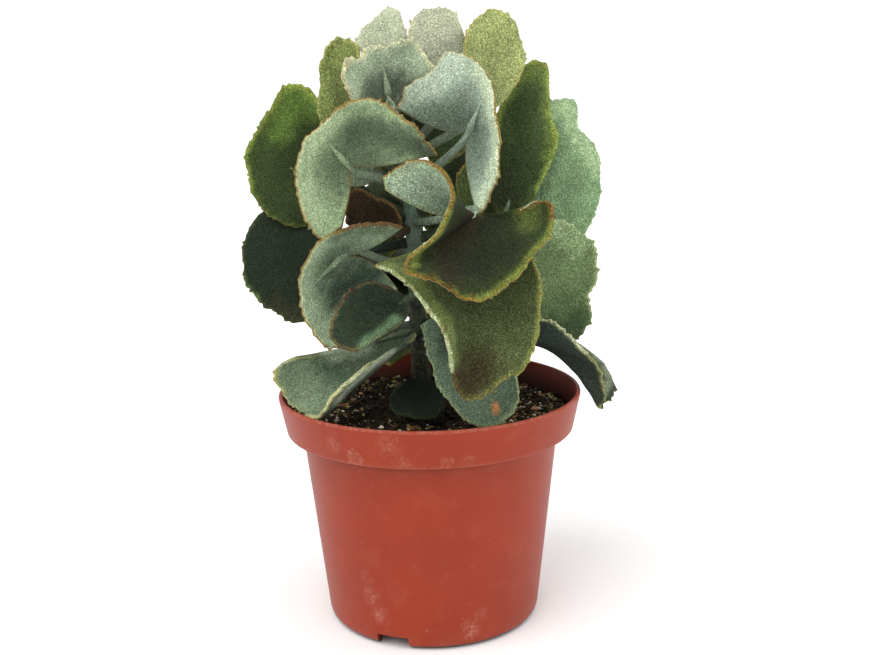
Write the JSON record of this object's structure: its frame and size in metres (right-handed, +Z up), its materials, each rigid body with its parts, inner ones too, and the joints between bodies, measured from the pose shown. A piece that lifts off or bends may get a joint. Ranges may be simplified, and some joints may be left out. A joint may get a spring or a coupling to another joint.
{
  "type": "potted kalanchoe",
  "caption": "Felt-leaved succulent shrub with cupped, folded and drooping leaves on an upright stem, growing in a round tapered nursery pot of terracotta-coloured plastic",
  "frame": {"origin": "on the pot's axis, on the surface that the pot stands on", "axes": "+Z up along the pot's axis; -Y is the front of the plant, where the folded and the drooping leaf face; +X is to the right seen from the front"},
  "size_m": [0.1504, 0.1339, 0.2406],
  "materials": {
    "pot_plastic": "moulded terracotta-coloured polypropylene, matt with faint lime marks",
    "potting_soil": "loose dark peat mix with pale bark and grit",
    "stem_bark": "soft felt-covered green stem",
    "felt_silver": "silver-green leaf felt, pale toothed edges",
    "felt_olive": "olive-green leaf felt with rust-brown shading and golden edges",
    "felt_green": "mid-green leaf felt, pale edges",
    "felt_dark": "dark green leaf felt",
    "felt_brown": "brown leaf felt"
  },
  "bodies": {
    "root": {"pot": "pot_plastic", "soil": "potting_soil", "stem": "stem_bark", "shoot_tip": "felt_silver", "leaf_left_upper": "felt_silver", "leaf_right_upper": "felt_silver", "leaf_front_folded": "felt_olive", "leaf_front_drooping": "felt_olive", "leaf_left_lower": "felt_silver", "leaf_left_outer_high": "felt_olive", "leaf_left_outer_low": "felt_dark", "leaf_right_tall": "felt_olive", "leaf_right_outer_high": "felt_green", "leaf_right_outer_low": "felt_green", "leaf_inner_left": "felt_green", "leaf_over_rim_left": "felt_silver", "leaf_over_rim_right": "felt_dark", "leaf_low_front": "felt_green", "leaf_on_soil": "felt_dark", "leaf_inner_brown": "felt_brown", "leaf_inner_green": "felt_green", "leaf_inner_olive": "felt_olive", "leaf_top_left_point": "felt_silver", "leaf_top_centre": "felt_silver", "leaf_top_right": "felt_olive", "leaf_top_cup": "felt_silver", "leaf_top_left_small": "felt_olive", "leaf_back_top": "felt_silver", "leaf_back_left_high": "felt_olive", "leaf_back_right_high": "felt_olive", "leaf_back_middle": "felt_olive", "leaf_back_left_low": "felt_silver", "leaf_back_right_low": "felt_green", "leaf_back_centre_low": "felt_dark", "leaf_back_over_rim": "felt_green"}
  },
  "joints": []
}
